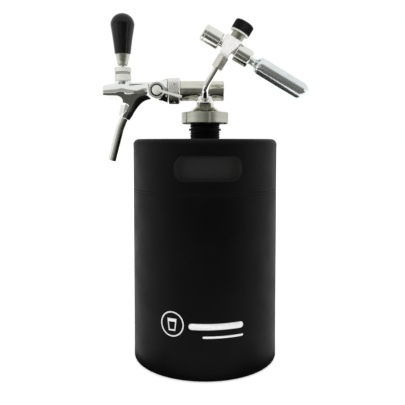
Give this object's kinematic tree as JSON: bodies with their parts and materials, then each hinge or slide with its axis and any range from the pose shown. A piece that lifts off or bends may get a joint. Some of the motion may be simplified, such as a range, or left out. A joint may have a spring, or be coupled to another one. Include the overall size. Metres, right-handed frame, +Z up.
{
  "type": "beer keg",
  "caption": "Cylindrical double-wall mini beer keg with a lift-off tap head, lever tap with flow control, and a swivelling CO2 cartridge regulator.",
  "frame": {"origin": "centre of the keg's flat base, on the surface it stands on", "axes": "+Z up along the keg's axis, -X towards the spout, -Y towards the front recess"},
  "size_m": [0.2518, 0.18, 0.4322],
  "materials": {
    "black_paint": "matt black powder coat with a fine texture",
    "steel": "plain stainless steel",
    "brushed_collar": "turned and brushed stainless steel",
    "chrome": "bright polished chrome plate",
    "nickel": "satin nickel plate on brass",
    "zinc": "bright zinc plate, slightly blue",
    "brass": "machined brass",
    "black_plastic": "glossy black phenolic",
    "rubber": "black nitrile rubber",
    "dial_white": "printed white dial",
    "clear": "clear acrylic lens"
  },
  "bodies": {
    "keg": {"outer_shell": "black_paint", "base_cap": "black_paint", "inner_vessel": "steel", "neck_ring": "black_paint"},
    "head": {"head_body": "chrome", "head_gasket": "rubber", "dip_tube": "steel", "dip_tube_nut": "steel", "dip_tube_o_ring": "rubber", "coupling_snap_ring": "steel", "tail_washer": "rubber", "faucet_body": "chrome", "spout_tube": "chrome", "lever_collar": "chrome", "friction_washer": "black_plastic", "lever_o_ring": "rubber", "flow_lever_nut": "black_plastic", "flow_lever_o_ring": "rubber", "gas_port": "chrome", "gas_port_o_ring": "rubber", "check_spring": "steel"},
    "collar": {"collar_ring": "brushed_collar", "collar_snap_ring": "steel"},
    "coupling": {"coupling_nut": "chrome"},
    "handle": {"lever_ball": "steel", "handle_ferrule": "chrome", "handle_grip": "black_plastic"},
    "valve": {"valve_shaft": "steel", "valve_seal": "rubber"},
    "flow_control": {"flow_lever": "chrome"},
    "compensator": {"compensator_cone": "black_plastic"},
    "check_valve": {"check_poppet": "brass"},
    "gas_arm": {"gas_swivel_nut": "chrome", "gas_tube": "chrome", "outlet_nut": "chrome", "outlet_olive": "brass", "regulator_block": "nickel", "regulator_bonnet": "nickel", "bonnet_ring": "chrome", "regulator_spring": "steel", "inlet_socket": "chrome", "pierce_pin": "steel", "inlet_seal": "rubber", "gauge_case": "chrome", "gauge_dial": "dial_white", "gauge_lens": "clear"},
    "knob": {"regulator_knob": "black_plastic", "adjust_screw": "brass"},
    "button": {"spring_button": "brass"},
    "piston": {"regulator_piston": "brass"},
    "needle": {"gauge_needle": "black_plastic"},
    "cartridge": {"co2_cartridge": "zinc"}
  },
  "joints": [
    {"name": "head_lift", "type": "slide", "parent": "keg", "child": "head", "axis": [0, 0, 1], "range_m": [0, 0.3]},
    {"name": "collar_turn", "type": "hinge", "parent": "head", "child": "collar", "pos_m": [0, 0, 0.3], "axis": [0, 0, 1], "continuous": true},
    {"name": "coupling_turn", "type": "hinge", "parent": "head", "child": "coupling", "pos_m": [-0.0387, 0, 0.3354], "axis": [1, 0, 0], "continuous": true},
    {"name": "handle_tilt", "type": "hinge", "parent": "head", "child": "handle", "pos_m": [-0.1034, 0, 0.356], "axis": [0, -1, 0], "range_deg": [0, 18]},
    {"name": "valve_slide", "type": "slide", "parent": "head", "child": "valve", "axis": [1, 0, 0], "range_m": [0, 0.0066]},
    {"name": "flow_lever_turn", "type": "hinge", "parent": "head", "child": "flow_control", "pos_m": [-0.0596, -0.012, 0.3354], "axis": [0, -1, 0], "range_deg": [0, 120]},
    {"name": "compensator_slide", "type": "slide", "parent": "head", "child": "compensator", "axis": [1, 0, 0], "range_m": [0, 0.0046]},
    {"name": "check_valve_slide", "type": "slide", "parent": "head", "child": "check_valve", "axis": [0, 0.5446, -0.8387], "range_m": [0, 0.0018], "stiffness_N_per_m": 300, "springref_m": -0.002, "deforming": ["check_spring"]},
    {"name": "gas_arm_swivel", "type": "hinge", "parent": "head", "child": "gas_arm", "pos_m": [0, -0.017, 0.312], "axis": [0, -0.5446, 0.8387], "range_deg": [-40, 40]},
    {"name": "knob_turn", "type": "hinge", "parent": "gas_arm", "child": "knob", "pos_m": [0.04051, -0.0329, 0.40023], "axis": [-0.515, 0, -0.8572], "range_deg": [0, 720]},
    {"name": "spring_button_slide", "type": "slide", "parent": "gas_arm", "child": "button", "axis": [-0.515, 0, -0.8572], "range_m": [0, 0.0026], "deforming": ["regulator_spring"]},
    {"name": "piston_slide", "type": "slide", "parent": "gas_arm", "child": "piston", "axis": [-0.515, 0, -0.8572], "range_m": [0, 0.0006]},
    {"name": "needle_turn", "type": "hinge", "parent": "gas_arm", "child": "needle", "pos_m": [0.00244, -0.0329, 0.39977], "axis": [0.8572, 0, -0.515], "range_deg": [0, 271]},
    {"name": "cartridge_pull", "type": "slide", "parent": "gas_arm", "child": "cartridge", "axis": [0.8572, 0, -0.515], "range_m": [0, 0.025]}
  ],
  "couplings": [
    {"joint": "valve_slide", "follows": "handle_tilt", "m_per_rad": 0.020263},
    {"joint": "compensator_slide", "follows": "flow_lever_turn", "m_per_rad": 0.00215},
    {"joint": "spring_button_slide", "follows": "knob_turn", "m_per_rad": 0.00019894},
    {"joint": "piston_slide", "follows": "knob_turn", "m_per_rad": 0.00003979},
    {"joint": "needle_turn", "follows": "knob_turn", "ratio": 0.375}
  ]
}
